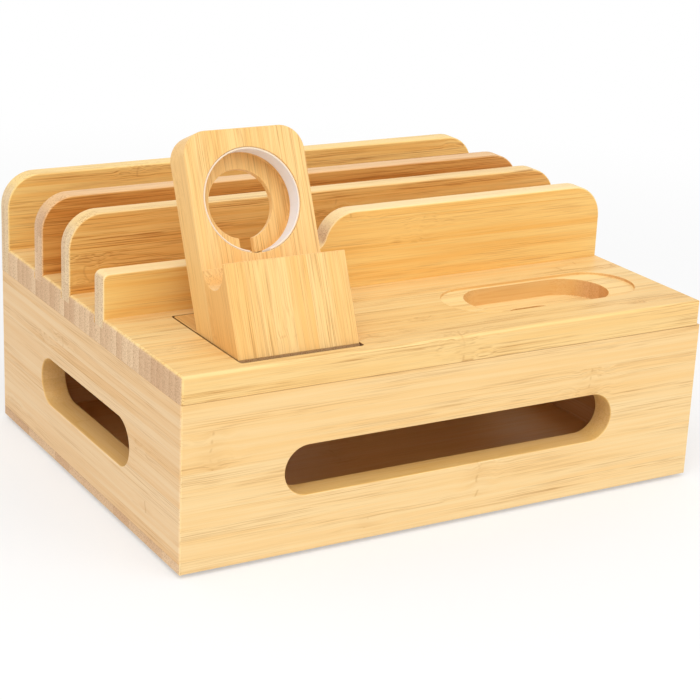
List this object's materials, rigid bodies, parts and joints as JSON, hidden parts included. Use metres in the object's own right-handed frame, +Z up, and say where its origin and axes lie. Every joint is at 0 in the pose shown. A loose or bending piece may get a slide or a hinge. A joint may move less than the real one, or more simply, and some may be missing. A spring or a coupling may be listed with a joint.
{
  "type": "charging station organizer",
  "caption": "Bamboo desktop charging station: slotted cable box, lift-off lid with upright dividers and an earbud recess, and a tilted watch charger stand.",
  "frame": {"origin": "middle of the box's footprint, on the surface the rubber feet stand on", "axes": "+X along the box's width, to the right when seen from the front; the front wall with the long slot faces -Y; +Z up"},
  "size_m": [0.33, 0.252, 0.2122],
  "materials": {
    "bamboo_face": "satin clear-lacquered laminated bamboo, front boards, lid and stand",
    "bamboo_side": "satin clear-lacquered laminated bamboo, side and base boards",
    "bamboo_divider": "satin clear-lacquered laminated bamboo, dividers",
    "white_plastic": "smooth white moulding",
    "screw_steel": "zinc-plated wood screws",
    "rubber": "matt black rubber"
  },
  "bodies": {
    "box": {"base_board": "bamboo_side", "front_panel": "bamboo_face", "rear_panel": "bamboo_face", "left_panel": "bamboo_side", "right_panel": "bamboo_side", "base_screws": "screw_steel", "foot_front_left": "rubber", "foot_front_right": "rubber", "foot_rear_left": "rubber", "foot_rear_right": "rubber"},
    "lid": {"lid_panel": "bamboo_face", "divider_rear": "bamboo_divider", "divider_middle_rear": "bamboo_divider", "divider_middle_front": "bamboo_divider", "divider_front": "bamboo_divider", "lid_cleat_front": "bamboo_side", "lid_cleat_rear": "bamboo_side"},
    "watch_stand": {"stand_foot": "bamboo_face", "stand_plate": "bamboo_face", "stand_block": "bamboo_face", "liner_ring": "white_plastic", "stand_screws": "screw_steel"}
  },
  "joints": [
    {"name": "lid_lift", "type": "slide", "parent": "box", "child": "lid", "axis": [0, 0, 1], "range_m": [0, 0.12]},
    {"name": "stand_lift", "type": "slide", "parent": "lid", "child": "watch_stand", "axis": [0, 0, 1], "range_m": [0, 0.15]}
  ]
}
